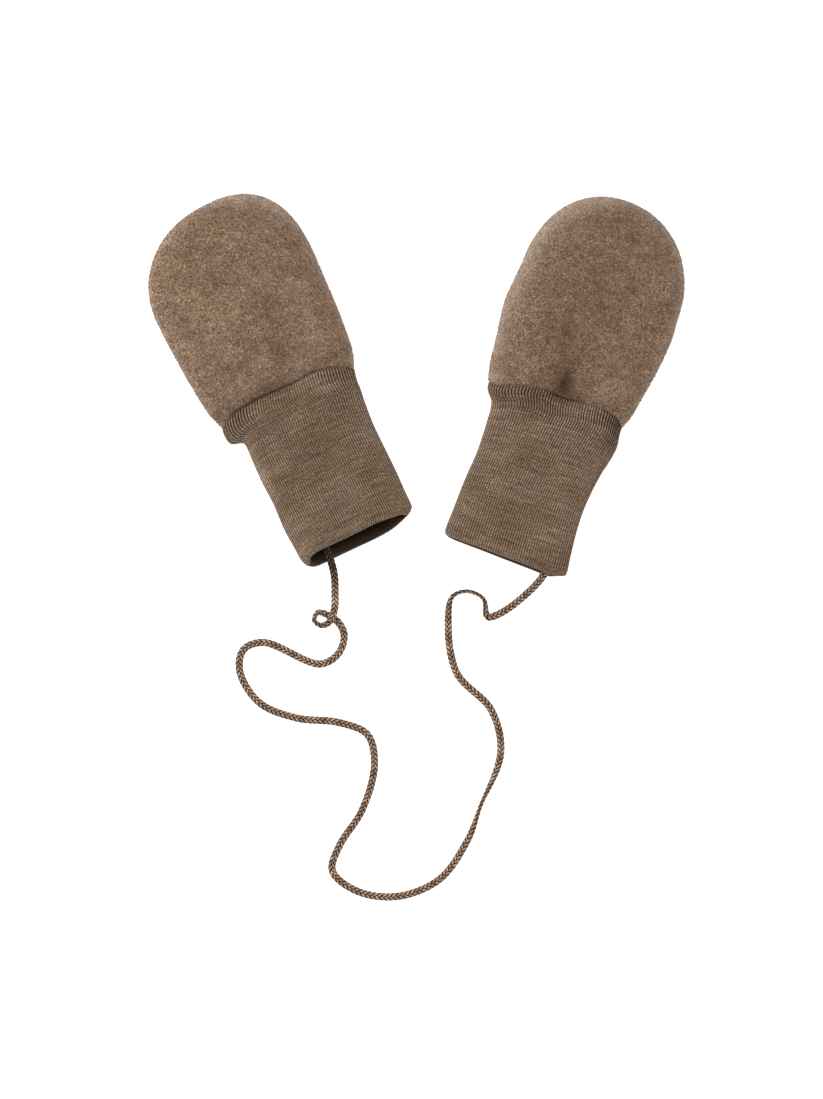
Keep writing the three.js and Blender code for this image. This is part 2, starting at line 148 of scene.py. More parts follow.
bpy.ops.mesh.primitive_plane_add(size=6, location=(0, 0, -0.3 * mm))
floor = bpy.context.object
floor.name = "floor"
floor_paint = bpy.data.materials.new("lit_white_table")
floor_paint.use_nodes = True
set_inputs(floor_paint.node_tree.nodes["Principled BSDF"], {
    "Base Color": (0.9, 0.9, 0.9, 1), "Roughness": 0.9,
    "Emission Color": (1, 1, 1, 1), "Emission Strength": 0.75})
floor.data.materials.append(floor_paint)

# %% [markdown]
# ## Nodes for the finishes
# The finishes are built from nodes. A short helper adds a node, sets its values and joins its
# inputs, so that each finish below reads from top to bottom.

# %% Node helper
class Finish:
    """A material whose nodes are added one by one."""

    def __init__(self, name, roughness, sheen, sheen_tint):
        self.material = bpy.data.materials.new(name)
        self.material.use_nodes = True
        self.tree = self.material.node_tree
        self.shader = self.tree.nodes["Principled BSDF"]
        set_inputs(self.shader, {
            "Roughness": roughness, "Specular IOR Level": 0.05, "Sheen Weight": sheen,
            "Sheen Roughness": 0.5, "Sheen Tint": (*sheen_tint, 1)})

    def link(self, source, target):
        self.tree.links.new(source, target)

    def math(self, operation, *values, clamp=False):
        node = self.tree.nodes.new("ShaderNodeMath")
        node.operation = operation
        node.use_clamp = clamp
        for socket, value in zip(node.inputs, values):
            if isinstance(value, (int, float)):
                socket.default_value = value
            else:
                self.link(value, socket)
        return node.outputs["Value"]

    def noise(self, vector, scale, detail=2.0, roughness=0.5, distortion=0.0):
        node = self.tree.nodes.new("ShaderNodeTexNoise")
        set_inputs(node, {"Scale": scale, "Detail": detail, "Roughness": roughness,
                          "Distortion": distortion})
        self.link(vector, node.inputs["Vector"])
        return node.outputs["Fac"]

    def attribute(self, name):
        node = self.tree.nodes.new("ShaderNodeAttribute")
        node.attribute_name = name
        return node.outputs["Fac"]

    def shade(self, colour, value, low, high, dark, light):
        """Multiplies a colour by a shade, from a warm dark one at low to a greyer light one at high."""
        warm = (dark, dark * 0.94, dark * 0.87)
        pale = (light, light * 1.01, light * 1.04)
        return self.blend("MULTIPLY", 1.0, colour, self.ramp(value, (low, warm), (high, pale)))

    def painted_shade_and_light(self, colour):
        """Paints shade and light into a colour: darker where the attribute is above 0, lighter below 0.
        """
        light = self.math("SUBTRACT", 1.0, self.attribute("painted_shade_and_light"))
        warm = self.tree.nodes.new("ShaderNodeCombineColor")
        for channel, power in (("Red", 0.9), ("Green", 1.1), ("Blue", 1.3)):
            self.link(self.math("POWER", light, power), warm.inputs[channel])
        return self.blend("MULTIPLY", 1.0, colour, warm.outputs["Color"])

    def stretch(self, vector, scale):
        node = self.tree.nodes.new("ShaderNodeMapping")
        node.inputs["Scale"].default_value = scale
        self.link(vector, node.inputs["Vector"])
        return node.outputs["Vector"]

    def ramp(self, value, *stops):
        node = self.tree.nodes.new("ShaderNodeValToRGB")
        elements = node.color_ramp.elements
        while len(elements) < len(stops):
            elements.new(0.5)
        for element, (place, colour) in zip(elements, stops):
            element.position = place
            element.color = (*colour, 1)
        self.link(value, node.inputs["Fac"])
        return node.outputs["Color"]

    def blend(self, kind, share, first, second):
        node = self.tree.nodes.new("ShaderNodeMix")
        node.data_type = "RGBA"
        node.blend_type = kind
        colours = [socket for socket in node.inputs if socket.type == "RGBA"]
        for socket, value in zip([node.inputs[0], *colours], [share, first, second]):
            if isinstance(value, (int, float)):
                socket.default_value = value
            elif isinstance(value, tuple):
                socket.default_value = (*value, 1)
            else:
                self.link(value, socket)
        return next(socket for socket in node.outputs if socket.type == "RGBA")

    def bump(self, height, depth, under=None):
        node = self.tree.nodes.new("ShaderNodeBump")
        node.inputs["Distance"].default_value = depth
        self.link(height, node.inputs["Height"])
        if under is not None:
            self.link(under, node.inputs["Normal"])
        return node.outputs["Normal"]

    def finish(self, colour, normal):
        self.link(colour, self.shader.inputs["Base Color"])
        self.link(normal, self.shader.inputs["Normal"])
        return self.material


# %% [markdown]
# ## Fleece
# The pouches are of wool fleece with a short brushed nap. Its colour is made of broad patches,
# softer clouds, clumps of the nap and single fibres, each finer than the one before, and of a
# painted pale sheen on the rims, where one looks along the nap. The attribute "tone" makes each
# tuft a little lighter or darker. Another attribute paints shade into folds and along the seam and
# light onto some broad areas, and a third holds the painted sheen of the rims.

# %% Fleece finish
def make_fleece():
    fleece = Finish("brushed_fleece", roughness=0.95, sheen=0.4, sheen_tint=(0.95, 0.78, 0.7))
    place = fleece.tree.nodes.new("ShaderNodeTexCoord").outputs["Object"]
    patches = fleece.noise(place, 75, detail=3, roughness=0.6)
    clouds = fleece.noise(place, 240, detail=2, roughness=0.6)
    clumps = fleece.noise(place, 1250, detail=2, roughness=0.6, distortion=0.6)
    fibres = fleece.noise(place, 2200, detail=2, roughness=0.6, distortion=0.8)
    colour = fleece.ramp(patches, (0.36, (0.29, 0.19, 0.12)), (0.64, (0.368, 0.25, 0.158)))
    colour = fleece.shade(colour, clouds, 0.35, 0.65, 0.9, 1.09)
    colour = fleece.shade(colour, clumps, 0.3, 0.7, 0.5, 1.42)
    colour = fleece.shade(colour, fibres, 0.28, 0.72, 0.37, 1.63)
    tones = [(0.0, 1.0), (0.05, 0.2), (0.6, 1.0), (1.0, 1.95)]
    tone = fleece.ramp(fleece.attribute("tone"), *((place, (grey,) * 3) for place, grey in tones))
    colour = fleece.blend("MULTIPLY", 1.0, colour, tone)
    # Painted shade in folds and along the seam, and painted light on some broad areas
    colour = fleece.painted_shade_and_light(colour)
    # Painted sheen: towards the rims the colour is mixed with a pale one
    colour = fleece.blend("MIX", fleece.attribute("painted_sheen"), colour, (0.46, 0.355, 0.275))
    relief = fleece.bump(clumps, 0.7 * mm)
    relief = fleece.bump(fibres, 0.4 * mm, under=relief)
    return fleece.finish(colour, relief)


fleece_finish = make_fleece()
print("Fleece nodes:", len(fleece_finish.node_tree.nodes))

# %% [markdown]
# ## Rib knit
# The cuffs are a fine rib knit of a mottled yarn. The ribs themselves are in the mesh, so the
# finish adds what is finer: the V of each stitch as bump and as painted shade, painted shade in
# the grooves, and the stripes that the mottled yarn leaves row by row. The UV map follows the
# cloth: across it counts the way round the cuff, and along it the way from the hem, which is
# below 0 inside the cuff, where painted shade makes it dark. The attribute "gather" says how
# deep the ribs are drawn in near the seam, where the painted shade in the grooves is deeper.

# %% Rib knit finish
rib_count_top = 56
rib_count_under = 54
rib_count = rib_count_top + rib_count_under
cuff_length_mm = 72
stitch_height_mm = 1.05


def make_rib_knit():
    knit = Finish("rib_knit", roughness=0.9, sheen=0.25, sheen_tint=(0.95, 0.85, 0.75))
    place = knit.tree.nodes.new("ShaderNodeTexCoord").outputs["Object"]
    cloth = knit.tree.nodes.new("ShaderNodeUVMap")
    cloth.uv_map = "cloth"
    parts = knit.tree.nodes.new("ShaderNodeSeparateXYZ")
    knit.link(cloth.outputs["UV"], parts.inputs["Vector"])
    ribs = knit.math("MULTIPLY", parts.outputs["X"], rib_count)
    rows = knit.math("MULTIPLY", parts.outputs["Y"], cuff_length_mm / stitch_height_mm)
    phase = knit.math("FRACT", ribs)
    side = knit.math("ABSOLUTE", knit.math("SUBTRACT", phase, 0.5))
    ridge = knit.math("SUBTRACT", 1, knit.math("MULTIPLY", side, 2))
    # Neighbouring ribs are knit half a stitch apart, and each stitch leans to its groove
    step = knit.math("MULTIPLY", knit.math("FLOOR", ribs), 0.5)
    slanted = knit.math("ADD", knit.math("ADD", rows, step), knit.math("MULTIPLY", side, 0.9))
    beat = knit.math("SINE", knit.math("MULTIPLY", slanted, 2 * math.pi))
    stitch = knit.math("MULTIPLY", knit.math("ADD", knit.math("MULTIPLY", beat, 0.5), 0.5), ridge)
    streaks = knit.noise(knit.stretch(cloth.outputs["UV"], (6.5, 80, 1)), 1.0, detail=4, roughness=0.75)
    flecks = knit.noise(knit.stretch(cloth.outputs["UV"], (95, 70, 1)), 1.0, detail=2, roughness=0.6)
    blotches = knit.noise(place, 75, detail=2)
    colour = knit.ramp(streaks, (0.3, (0.122, 0.08, 0.05)), (0.5, (0.24, 0.163, 0.106)),
                       (0.68, (0.355, 0.26, 0.177)))
    colour = knit.shade(colour, flecks, 0.3, 0.7, 0.62, 1.36)
    colour = knit.shade(colour, blotches, 0.35, 0.65, 0.87, 1.1)
    # Painted shade: grooves between ribs and gaps between stitches are darkened, the grooves more where
    # the ribs are drawn in
    drawn_in = knit.math("MULTIPLY", knit.attribute("gather"), -0.4)
    groove = knit.math("ADD", knit.math("ADD", ridge, 0.15), drawn_in)
    colour = knit.shade(colour, groove, 0.0, 0.75, 0.12, 1.19)
    colour = knit.shade(colour, stitch, 0.0, 0.75, 0.64, 1.22)
    # Painted shade and light from the same patches and seam line as on the fleece
    colour = knit.painted_shade_and_light(colour)
    # Painted shade: inside the tube, below 0 along the cloth, the colour is made nearly black
    inside = knit.math("ADD", parts.outputs["Y"], 0.5)
    shaded = [(0.44, (0.07, 0.055, 0.045)), (0.492, (0.3, 0.235, 0.19)), (0.5, (1.0, 1.0, 1.0))]
    colour = knit.blend("MULTIPLY", 1.0, colour, knit.ramp(inside, *shaded))
    return knit.finish(colour, knit.bump(stitch, 0.3 * mm))


rib_knit_finish = make_rib_knit()
print("Rib knit nodes:", len(rib_knit_finish.node_tree.nodes))

# %% [markdown]
# ## Cord yarn
# The cord is braided from five soft strands of the same brown wool, each of a light and a darker
# yarn twisted together. The finish paints the tops of the strands pale and paints a shade, nearly
# black, where one dives under the next, so the mesh carries in "outer" how far out each point
# lies, from 0 in the middle of the cord to 1 at its skin, less in the gaps between strands, and in
# "shadow" a painted shadow where the cuff keeps light off it.

# %% Cord finish
def make_cord_yarn():
    cord = Finish("cord_yarn", roughness=0.85, sheen=0.15, sheen_tint=(0.95, 0.86, 0.76))
    strand = cord.tree.nodes.new("ShaderNodeUVMap")
    strand.uv_map = "cloth"
    plies = cord.noise(cord.stretch(strand.outputs["UV"], (3.0, 700, 1)), 1.0, detail=3, roughness=0.6)
    broad = cord.noise(cord.stretch(strand.outputs["UV"], (0.5, 120, 1)), 1.0, detail=1)
    colour = cord.ramp(plies, (0.3, (0.125, 0.085, 0.06)), (0.52, (0.305, 0.215, 0.156)),
                       (0.75, (0.555, 0.43, 0.335)))
    colour = cord.shade(colour, broad, 0.35, 0.65, 0.75, 1.18)
    # Painted shade and highlight: deep points and gaps nearly black, the outermost points pale
    colour = cord.shade(colour, cord.attribute("outer"), 0.6, 0.98, 0.015, 1.74)
    colour = cord.shade(colour, cord.attribute("shadow"), 0.0, 1.0, 1.0, 0.2)
    return cord.finish(colour, cord.bump(plies, 0.15 * mm))


cord_finish = make_cord_yarn()

# %% [markdown]
# ## The cord
# The cord comes first of the pieces, because its length is a fact: half a metre from inside one
# cuff to inside the other. Its points were laid along the photograph's cord. The last
# value of a row is the cord's roll: flat is 0, and at 90 degrees it stands on its narrow edge,
# which is why it looks thin there.

# %% Cord route
cord_route = [
    # x, y and height in metres, roll in degrees
    (-0.0413, -0.0591, 0.0032, 0),
    (-0.0348, -0.0776, 0.0029, 0),
    (-0.0342, -0.0873, 0.0021, 0),
    (-0.0345, -0.0944, 0.00305, 10),
    (-0.0367, -0.0994, 0.00285, 30),
    (-0.0402, -0.1007, 0.0018, 60),
    (-0.0431, -0.0982, 0.0016, 72),
    (-0.0413, -0.0949, 0.0015, 58),
    (-0.0336, -0.0985, 0.00095, 0),
    (-0.0304, -0.1045, 0.00095, 0),
    (-0.0329, -0.1125, 0.00095, 0),
    (-0.0406, -0.1168, 0.00095, 0),
    (-0.0644, -0.1077, 0.00095, 0),
    (-0.0728, -0.1108, 0.00095, 0),
    (-0.0743, -0.1200, 0.00095, 0),
    (-0.0661, -0.1331, 0.00095, 0),
    (-0.0504, -0.1395, 0.00095, 10),
    (-0.0328, -0.1414, 0.00095, 0),
    (-0.0206, -0.1465, 0.00095, 0),
    (-0.0176, -0.1591, 0.00095, 0),
    (-0.0227, -0.1783, 0.00095, 15),
    (-0.0324, -0.1934, 0.00095, 0),
    (-0.0353, -0.2040, 0.00095, 0),
    (-0.0246, -0.2126, 0.00095, 0),
    (-0.0073, -0.2146, 0.00095, 0),
    (0.0100, -0.2073, 0.00095, 0),
    (0.0211, -0.1917, 0.00095, 20),
    (0.0271, -0.1764, 0.0016, 80),
    (0.0356, -0.1536, 0.00095, 0),
    (0.0315, -0.1361, 0.00095, 0),
    (0.0171, -0.1207, 0.00095, 0),
    (0.0134, -0.1000, 0.00095, 5),
    (0.0151, -0.0884, 0.0016, 70),
    (0.0218, -0.0862, 0.00165, 90),
    (0.0284, -0.0895, 0.0016, 80),
    (0.0301, -0.0968, 0.0013, 25),
    (0.0334, -0.0964, 0.00095, 0),
    (0.0420, -0.0910, 0.0013, 0),
    (0.0539, -0.0788, 0.0033, 0),
    (0.0569, -0.0680, 0.0033, 0),
]
cord_exit = (-0.0371, -0.0708, 0.0032)


def smooth_route(rows, per_span):
    """A curve through all the rows that keeps close to them in tight bends."""
    points = np.array(rows, float)
    points = np.vstack([2 * points[0] - points[1], points, 2 * points[-1] - points[-2]])
    laid = []
    for i in range(1, len(points) - 2):
        p0, p1, p2, p3 = points[i - 1:i + 3]
        d0, d1, d2 = (max(np.linalg.norm((b - a)[:3]), 1e-9) ** 0.5
                      for a, b in ((p0, p1), (p1, p2), (p2, p3)))
        leave = ((p1 - p0) / d0 - (p2 - p0) / (d0 + d1) + (p2 - p1) / d1) * d1
        arrive = ((p2 - p1) / d1 - (p3 - p1) / (d1 + d2) + (p3 - p2) / d2) * d1
        t = np.linspace(0, 1, per_span, endpoint=False)[:, None]
        laid.append((2 * t**3 - 3 * t**2 + 1) * p1 + (t**3 - 2 * t**2 + t) * leave
                    + (3 * t**2 - 2 * t**3) * p2 + (t**3 - t**2) * arrive)
    laid.append(points[-2][None, :])
    laid = np.vstack(laid)
    lengths = np.r_[0, np.cumsum(np.linalg.norm(np.diff(laid[:, :3], axis=0), axis=1))]
    return laid, lengths


def set_value(piece, name, values):
    attribute = piece.data.attributes.new(name, "FLOAT", "POINT")
    attribute.data.foreach_set("value", np.asarray(values, float))


def get_values(items, key, width=1, kind=float):
    """One value of each item of a mesh, or a row of them, as an array."""
    values = np.empty(len(items) * width, kind)
    items.foreach_get(key, values)
    return values if width == 1 else values.reshape(-1, width)


def resample(values, lengths, count):
    wanted = np.linspace(0, lengths[-1], count)
    return np.column_stack([np.interp(wanted, lengths, column) for column in values.T])


cord_line, cord_lengths = smooth_route(cord_route, per_span=24)
cord_length = cord_lengths[-1]
print(f"The cord is {cord_length:.4f} m long")

# %% [markdown]
# A flat braid of five strands: each strand swings from edge to edge of the cord, and rises over
# the others on one half of its way across and dips under them on the other. The strands are a
# fifth of a swing apart, which lays a row of slanted stitches along each half of the cord. Each
# strand comes up a little before the middle, so that the two rows of stitches interlock.

# %% Braid
strand_count = 5
cord_width = 3.3 * mm
cord_thickness = 1.75 * mm
strand_width = 1.2 * mm
strand_thickness = 0.84 * mm
swing_length = 10.0 * mm
over_middle = math.radians(42)
strand_sides = 8
strand_step = 0.4 * mm
table_gap = 0.05 * mm
shadow_length = 17 * mm


def rings_to_mesh(name, rings):
    """Joins rings of points, given as rows by points by 3, to one closed tube."""
    count, sides = rings.shape[:2]
    points = rings.reshape(-1, 3)
    faces = []
    for i in range(count - 1):
        for j in range(sides):
            k = (j + 1) % sides
            faces.append((i * sides + j, i * sides + k, (i + 1) * sides + k, (i + 1) * sides + j))
    faces.append(tuple(range(sides))[::-1])
    faces.append(tuple(range((count - 1) * sides, count * sides)))
    mesh = bpy.data.meshes.new(name)
    mesh.from_pydata(points.tolist(), [], faces)
    piece = bpy.data.objects.new(name, mesh)
    bpy.context.collection.objects.link(piece)
    return piece


def braid_strand(number):
    count = int(cord_length / strand_step)
    line = resample(cord_line, cord_lengths, count)
    centre, roll = line[:, :3], np.radians(line[:, 3])
    along = np.gradient(centre, axis=0)
    along /= np.linalg.norm(along, axis=1)[:, None]
    sideways = np.cross(along, [0, 0, 1])
    sideways /= np.linalg.norm(sideways, axis=1)[:, None]
    upwards = np.cross(sideways, along)
    broad = sideways * np.cos(roll)[:, None] + upwards * np.sin(roll)[:, None]
    thin = upwards * np.cos(roll)[:, None] - sideways * np.sin(roll)[:, None]
    travelled = np.linspace(0, cord_length, count)
    swing = 2 * math.pi * (travelled / swing_length + number / strand_count)
    across = (cord_width - strand_width) / 2 * np.sin(swing)
    over = (cord_thickness - strand_thickness) / 2 * np.sin(2 * swing + over_middle)
    core = centre + broad * across[:, None] + thin * over[:, None]
    heading = np.gradient(core, axis=0)
    heading /= np.linalg.norm(heading, axis=1)[:, None]
    flat = np.cross(heading, thin)
    flat /= np.linalg.norm(flat, axis=1)[:, None]
    lift = np.cross(flat, heading)
    rings = np.empty((count, strand_sides, 3))
    outer = np.empty((count, strand_sides))
    for j in range(strand_sides):
        angle = 2 * math.pi * j / strand_sides
        wide = math.cos(angle) * strand_width / 2
        high = math.sin(angle) * strand_thickness / 2
        rings[:, j] = core + flat * wide + lift * high
        rings[:, j, 2] = np.maximum(rings[:, j, 2], table_gap)
        off_line = rings[:, j] - centre
        high_part = np.sum(off_line * thin, axis=1) / (cord_thickness / 2)
        wide_part = np.sum(off_line * broad, axis=1) / (cord_width / 2)
        # Points in the gaps between strands get a lower value, so that painted shade darkens them
        in_gap = math.cos(angle)**2 * (1 - 0.6 * np.abs(wide_part).clip(0, 1))
        outer[:, j] = np.hypot(high_part, wide_part) - 0.62 * in_gap
    piece = rings_to_mesh(f"cord_strand_{number + 1}", rings)
    set_value(piece, "outer", outer.ravel())
    below_hem = np.linalg.norm(centre - np.array(cord_exit), axis=1)
    shadow = np.where(centre[:, 0] < 0, np.clip(1.5 - 1.5 * below_hem / shadow_length, 0, 1), 0)
    set_value(piece, "shadow", np.repeat(shadow, strand_sides))
    cloth = piece.data.uv_layers.new(name="cloth")
    corners = get_values(piece.data.loops, "vertex_index", kind=int)
    uv = np.column_stack([(corners % strand_sides) / strand_sides, (corners // strand_sides) / count])
    cloth.data.foreach_set("uv", uv.ravel())
    return piece


def join_pieces(name, pieces):
    bpy.ops.object.select_all(action="DESELECT")
    for piece in pieces:
        piece.select_set(True)
    bpy.context.view_layer.objects.active = pieces[0]
    bpy.ops.object.join()
    joined = bpy.context.object
    joined.name = name
    return joined


cord = join_pieces("braided_cord", [braid_strand(number) for number in range(strand_count)])
cord.data.materials.append(cord_finish)
bpy.ops.object.shade_smooth()
lowest = min(vertex.co.z for vertex in cord.data.vertices)
print(f"Braid: {len(cord.data.polygons)} faces, lowest point {lowest / mm:.2f} mm")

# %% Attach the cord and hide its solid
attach(cord, "root")
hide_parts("cord")

# %% [markdown]
# ## The mittens' tables
# These are the sizes of the solids, in millimetres: the widths left and right of a mitten's
# middle line and the height of its crown, row by row from the hem to the tip. The hem has a
# table for its upper edge and one for its lower edge, and the seam has one as well.

# %% Mitten tables
fleece_wall = 2.6
knit_wall = 2.0
side_share = 0.38
half_panel_gap = 0.15
pouch_crown = 2.5
cuff_crown = 3.0
pouch_under_round = 8
cuff_under_round = 4.5

left_mitten = {
    "name": "left",
    "place": (-23.2, -63.7),
    "turn": 27,
    "cuff": table("along left right top",
        (-1.4, 24.3, 20.6, 9.0),
        (-0.6, 25.3, 21.9, 9.2),
        (0.5, 26.0, 23.8, 9.4),
        (1.7, 26.5, 25.0, 9.6),
        (3.5, 26.8, 25.2, 9.7),
        (8, 26.9, 25.3, 9.8),
        (17, 27.2, 25.8, 9.6),
        (28, 26.4, 26.0, 9.6),
        (39, 26.5, 26.3, 9.7),
        (50, 25.8, 27.5, 10.4),
        (54, 25.5, 28.1, 10.9),
        (56, 26.1, 28.3, 11.2),
        (58.4, 29.5, 28.5, 11.6),
        (60.8, 31.3, 28.9, 12.0),
        (64.5, 31.7, 29.7, 11.9),
        (69, 30.9, 30.2, 11.2),
        (71.5, 30.6, 30.2, 9.6)),
    "hem": {
        "left_end": -1.3,
        "right_end": -0.6,
        "top": table("across along",
            (-24.4, -1.2), (-23.8, 0.6), (-22.8, 2.1), (-21, 2.8), (-17, 3.1), (-10.8, 2.9),
            (2.7, 2.6), (8.5, 2.5), (12.3, 2.1), (16.2, 1.6), (19.4, 1.0), (20.9, 0.2),
            (22, -0.5)),
        "bottom": table("across along",
            (-24.4, -1.3), (-22.8, -2.0), (-20.4, -2.35), (-14.6, -2.5), (-1.2, -2.9),
            (4.6, -3.1), (10.4, -3.0), (14.2, -2.6), (18, -1.7), (20.8, -0.8), (22, -0.6)),
    },
    "seam": table("across along",
        (-31, 67.7), (-27, 69.8), (-22, 71.3), (-10, 71.7), (4.5, 70.8), (13, 71.1), (20, 69.6),
        (26, 67.3), (30, 64.4)),
    "pouch": table("along left right top",
        (64, 30.8, 29.7, 9.6),
        (68, 31.8, 31.4, 9.9),
        (71.5, 32.8, 32.8, 10.2),
        (75.5, 33.8, 33.5, 13.2),
        (84, 34.6, 34.5, 15.0),
        (92.5, 35.1, 35.3, 15.8),
        (101, 35.4, 35.9, 16.4),
        (109, 35.6, 36.4, 16.6),
        (118, 35.6, 37.0, 16.6)),
    "tip": {"across": 3.8, "start": 118, "end": 154.5, "left_power": 2.1, "right_power": 2.55},
    "folds": table("across along turn length width depth",
        (10, 96, 8, 20, 5, 1.3),
        (-9, 84, -30, 9, 5, 0.9),
        (15, 77, 60, 8, 4, 0.7)),
}
right_mitten = {
    "name": "right",
    "place": (38.1, -70.9),
    "turn": -20,
    "cuff": table("along left right top",
        (-1.2, 26.3, 23.0, 9.0),
        (-0.6, 27.2, 24.8, 9.1),
        (0.2, 27.8, 26.0, 9.3),
        (1.2, 28.0, 26.3, 9.5),
        (3, 28.0, 26.2, 9.7),
        (6, 27.9, 25.7, 9.8),
        (12, 27.7, 24.9, 9.7),
        (20, 27.6, 24.1, 9.6),
        (28, 27.2, 23.9, 9.6),
        (36, 26.6, 24.5, 9.7),
        (45, 26.8, 25.7, 10.0),
        (50, 27.1, 26.8, 10.4),
        (55, 27.4, 27.7, 11.0),
        (59, 28.4, 28.0, 11.6),
        (61.5, 30.6, 27.6, 12.0),
        (64, 31.9, 27.2, 11.9),
        (68, 31.8, 27.1, 11.2),
        (71.5, 31.5, 27.1, 9.6)),
    "hem": {
        "left_end": -1.0,
        "right_end": -0.5,
        "top": table("across along",
            (-26.8, -0.9), (-24, -1.0), (-10, -1.0), (0, -1.1), (10, -1.3), (17, -1.5),
            (20, -1.6), (22, -1.1), (24.5, -0.5)),
        "bottom": table("across along",
            (-26.8, -1.0), (-25.5, -1.4), (-22, -1.7), (-10, -1.9), (0, -2.1), (10, -2.3),
            (17, -2.45), (19.5, -2.4), (21, -2.0), (23, -1.1), (24.8, -0.6)),
    },
    "seam": table("across along",
        (-32, 66.1), (-28, 66.0), (-24, 66.8), (-20, 68.4), (-16, 69.4), (-8, 70.3), (-2.5, 69.9),
        (2, 70.1), (9, 71.0), (16.5, 71.4), (21, 70.8), (24.5, 69.1), (27.5, 66.8)),
    "pouch": table("along left right top",
        (63, 32.4, 27.5, 9.6),
        (67, 33.2, 27.9, 9.9),
        (71.5, 34.3, 29.5, 10.2),
        (75.5, 34.9, 30.2, 13.0),
        (84, 35.7, 31.6, 14.8),
        (92.5, 36.9, 33.0, 15.8),
        (101, 37.6, 33.9, 16.4),
        (109, 37.1, 34.3, 16.6),
        (118, 36.2, 33.7, 16.6)),
    "tip": {"across": -2.7, "start": 118, "end": 157.1, "left_power": 2.15, "right_power": 2.05},
    "folds": table("across along turn length width depth",
        (-2, 77, 10, 6.5, 5, 3.2),
        (-6, 98, 10, 22, 10, 1.5),
        (12, 80, -50, 9, 5, 0.8)),
}

mittens = (left_mitten, right_mitten)

# %% [markdown]
# These rows paint shade and light into the colour of the fleece and the knit. In a fold the nap
# opens and less light reaches its roots, and the same happens where the cuff is drawn in; that
# shade is painted here. A row gives the middle of such a painted shade, its turn, how far it
# reaches and how dark it is, and a value below 0 paints a place lighter. The small strong rows
# are painted shade in folds. The broad weak ones paint how light a whole area looks in the
# photograph, and a few paint pale and dark rims on the cuffs. A narrow painted shade follows the
# seam, where two thick edges meet, and a painted pale sheen follows the rims.

# %% Painted shade and light
painted_shade_patches = {
    "left": table("across along turn length width dark",
        (6, 97, -10, 22, 4.5, 0.14),
        (-8, 73, 0, 3, 12, 0.12),
        (-25, 96, 0, 24, 9, -0.16),
        (20, 90, 0, 18, 8, -0.16),
        (-4, 142, 0, 12, 17, 0.13),
        (-14, 126, 0, 10, 8, 0.11),
        (-33, 82, 0, 8, 3, -0.15),
        (12, 76, 0, 6, 12, -0.14),
        (-10, 63, 0, 8, 8, 0.13),
        (-24.8, 40, 0, 13, 2.4, -0.6),
        (-23.5, 4, 0, 4, 3, -0.2),
        (24, 50, 0, 10, 2.5, -0.1),
        (9, 68.5, 0, 3, 13, -0.2)),
    "right": table("across along turn length width dark",
        (0.5, 71.8, 0, 3.5, 6.5, 0.42),
        (-1.8, 77, -8, 4.8, 2.9, 0.56),
        (-0.8, 86, -25, 5, 1.8, 0.16),
        (-3, 80, 8, 10, 7, 0.14),
        (-5, 102, 10, 27, 17, 0.24),
        (13, 84, 0, 12, 6, -0.2),
        (0, 143, 0, 12, 15, 0.12),
        (23.5, 60, 39, 5, 1.2, 0.2),
        (25, 30, 0, 24, 1.5, 0.25),
        (9, 68.5, 0, 3.5, 9, -0.24),
        (-25, 67, 0, 3, 6, -0.26),
        (-12, 61, 0, 5, 7, 0.2),
        (17, 57, 0, 5, 4.5, -0.25),
        (15, 73, 0, 4, 7, -0.16),
        (-16, 124, 0, 16, 7, 0.13)),
}
seam_shade_width = 0.5
seam_shades = {
    "left": table("across dark",
        (-30, 0.15), (-22, 0.45), (-12, 0.45), (0, 0.3), (28, 0.15)),
    "right": table("across dark",
        (-30, 0.1), (-8, 0.15), (-3, 0.45), (4, 0.45), (10, 0.12), (26, 0.1)),
}
# How pale the painted sheen makes a rim at its edge, and how many millimetres it reaches inwards
rim_painted_sheen = {
    "left": {"left": (0.4, 2.0), "right": (0.62, 1.9)},
    "right": {"left": (0.72, 4.6), "right": (0.65, 2.2)},
}
sheen_turnover = 30


def soft_patches(patches, x, y, strength):
    """The sum of soft oval patches at places of a mitten."""
    total = np.zeros_like(x)
    for patch in patches:
        turn = math.radians(patch["turn"])
        dx, dy = x - patch["across"], y - patch["along"]
        across = (dx * math.cos(turn) + dy * math.sin(turn)) / patch["width"]
        along = (dy * math.cos(turn) - dx * math.sin(turn)) / patch["length"]
        total += patch[strength] * np.exp(-across**2 - along**2)
    return total


# %% [markdown]
# ## From a flat grid to laid cloth
# A piece of cloth starts as a flat grid, which also brings a UV map. Each point is then moved
# to its place on the mitten. The grid's width and height count as 0 to 1, so a form is one
# function that turns two shares into a place.

# %% Lay a grid
def lay_grid(name, columns, rows, form):
    """Adds a grid and moves its points to form(u, v), in metres, where u and v are shares."""
    bpy.ops.object.select_all(action="DESELECT")
    bpy.ops.mesh.primitive_grid_add(x_subdivisions=columns, y_subdivisions=rows, size=1)
    piece = bpy.context.object
    piece.name = name
    mesh = piece.data
    mesh.uv_layers[0].name = "cloth"
    flat = get_values(mesh.vertices, "co", 3)
    placed = form(flat[:, 0] + 0.5, flat[:, 1] + 0.5)
    mesh.vertices.foreach_set("co", placed.ravel())
    mesh.update()
    return piece


def to_frame(mitten, x, y, z):
    """Places points of a mitten, in millimetres, in the whole pair, in metres."""
    turn = math.radians(mitten["turn"])
    across, along = mitten["place"]
    return mm * np.column_stack([
        across + x * math.cos(turn) - y * math.sin(turn),
        along + x * math.sin(turn) + y * math.cos(turn),
        z,
    ])


def from_frame(mitten, points):
    """The way back: x and y on a mitten, in millimetres, of points in metres."""
    turn = math.radians(mitten["turn"])
    dx, dy = (points[:, :2] / mm - np.array(mitten["place"])).T
    return dx * math.cos(turn) + dy * math.sin(turn), dy * math.cos(turn) - dx * math.sin(turn)


def seam_along(mitten, x):
    return read_table(mitten["seam"], "across", "along", x)


